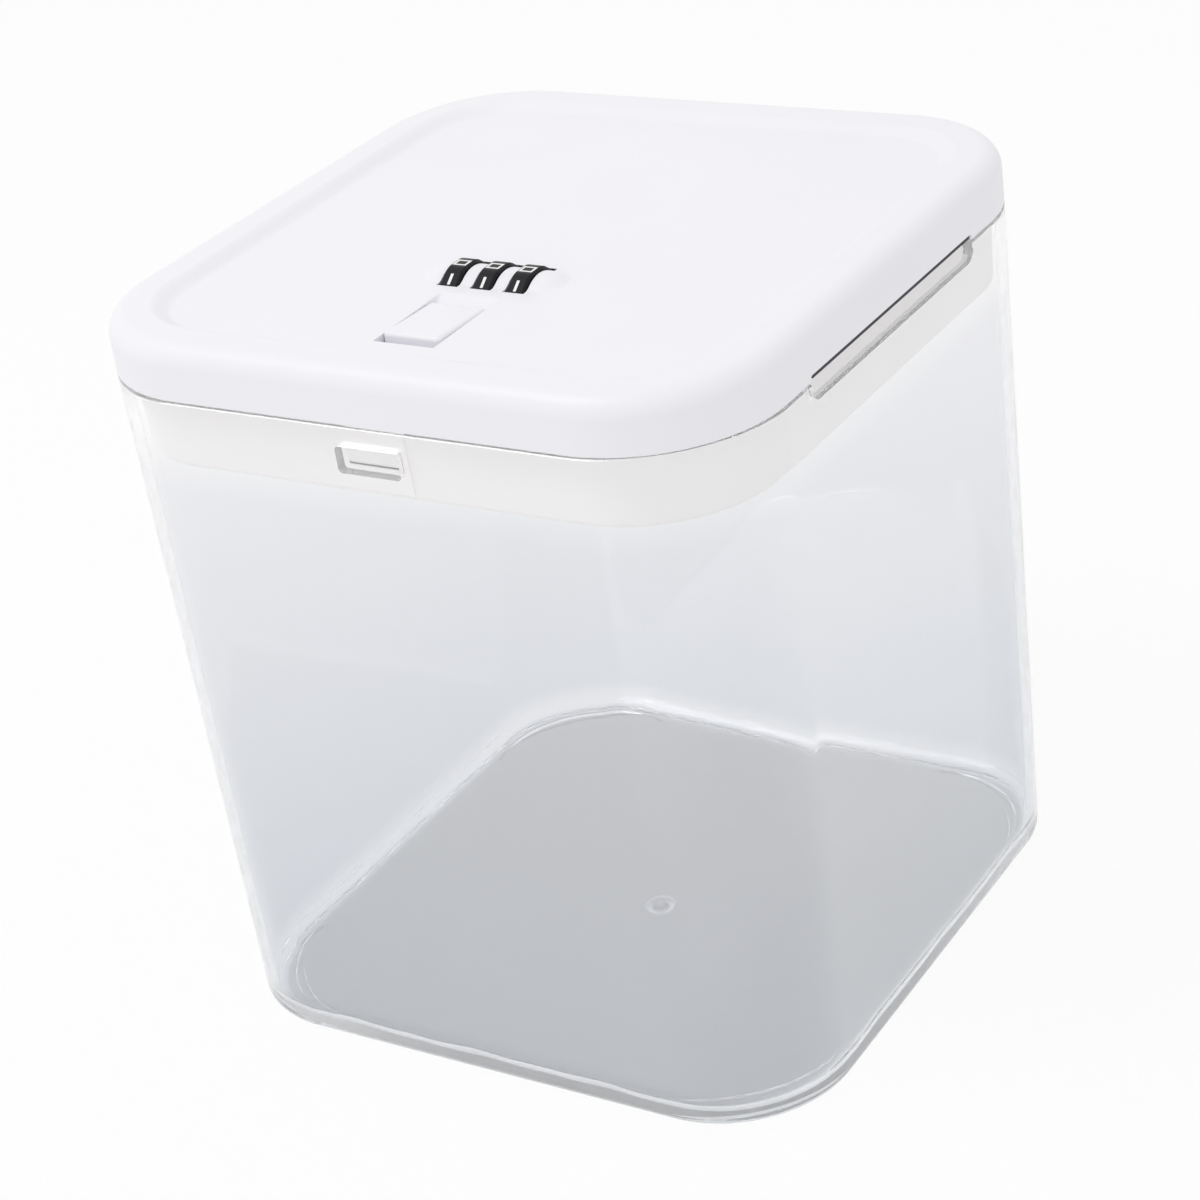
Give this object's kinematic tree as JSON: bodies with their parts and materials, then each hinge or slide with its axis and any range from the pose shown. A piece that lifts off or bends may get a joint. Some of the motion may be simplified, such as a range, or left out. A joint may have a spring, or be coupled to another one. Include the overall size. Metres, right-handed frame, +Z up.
{
  "type": "combination lock box",
  "caption": "Clear tapered plastic container with a tilting white lid, locked by number dials and a thumb-slid bolt that enters a window in the front wall.",
  "frame": {"origin": "middle of the base, on the table plane under the crescent feet", "axes": "+Z up; -Y towards the latch side; +X to the right seen from the latch side"},
  "size_m": [0.17, 0.17, 0.1876],
  "materials": {
    "clear_plastic": "clear moulded styrene, glossy",
    "white_plastic": "moulded white ABS, soft satin gloss",
    "plug_plastic": "moulded white polypropylene, satin",
    "bolt_plastic": "moulded white acetal, smooth",
    "dial_plastic": "moulded black ABS, satin gloss",
    "sleeve_plastic": "moulded grey acetal",
    "button_plastic": "moulded grey ABS",
    "frame_steel": "zinc-plated sheet steel",
    "shaft_steel": "ground steel rod",
    "spring_steel": "spring steel",
    "screw_steel": "zinc-plated screws"
  },
  "bodies": {
    "container": {"container": "clear_plastic"},
    "lid": {"lid_shell": "white_plastic", "lid_plug": "plug_plastic", "plug_screws": "screw_steel", "lock_chassis": "frame_steel", "chassis_screws": "screw_steel", "dial_shaft": "shaft_steel", "shaft_clips": "screw_steel", "detent_spring": "spring_steel", "detent_screws": "screw_steel", "bolt_keeper": "frame_steel", "keeper_screws": "screw_steel", "bolt_click_spring": "spring_steel", "reset_spring": "spring_steel"},
    "bolt": {"lock_bolt": "bolt_plastic", "fence_comb": "frame_steel", "thumb_slider": "white_plastic", "slider_screws": "screw_steel"},
    "dial_left": {"dial_left": "dial_plastic", "code_sleeve_left": "sleeve_plastic"},
    "dial_middle": {"dial_middle": "dial_plastic", "code_sleeve_middle": "sleeve_plastic"},
    "dial_right": {"dial_right": "dial_plastic", "code_sleeve_right": "sleeve_plastic"},
    "reset_button": {"reset_button": "button_plastic"}
  },
  "joints": [
    {"name": "lid_tilt", "type": "hinge", "parent": "container", "child": "lid", "pos_m": [0, 0.085, 0.1735], "axis": [-1, 0, 0], "range_deg": [0, 75]},
    {"name": "bolt_slide", "type": "slide", "parent": "lid", "child": "bolt", "axis": [0, -1, 0], "range_m": [0, 0.0026]},
    {"name": "dial_left_spin", "type": "hinge", "parent": "lid", "child": "dial_left", "pos_m": [-0.00885, -0.0276, 0.1782], "axis": [1, 0, 0], "continuous": true},
    {"name": "dial_middle_spin", "type": "hinge", "parent": "lid", "child": "dial_middle", "pos_m": [0, -0.0276, 0.1782], "axis": [1, 0, 0], "continuous": true},
    {"name": "dial_right_spin", "type": "hinge", "parent": "lid", "child": "dial_right", "pos_m": [0.00885, -0.0276, 0.1782], "axis": [1, 0, 0], "continuous": true},
    {"name": "reset_push", "type": "slide", "parent": "lid", "child": "reset_button", "axis": [0, 0, 1], "range_m": [0, 0.0015], "stiffness_N_per_m": 300, "deforming": ["reset_spring"]}
  ]
}
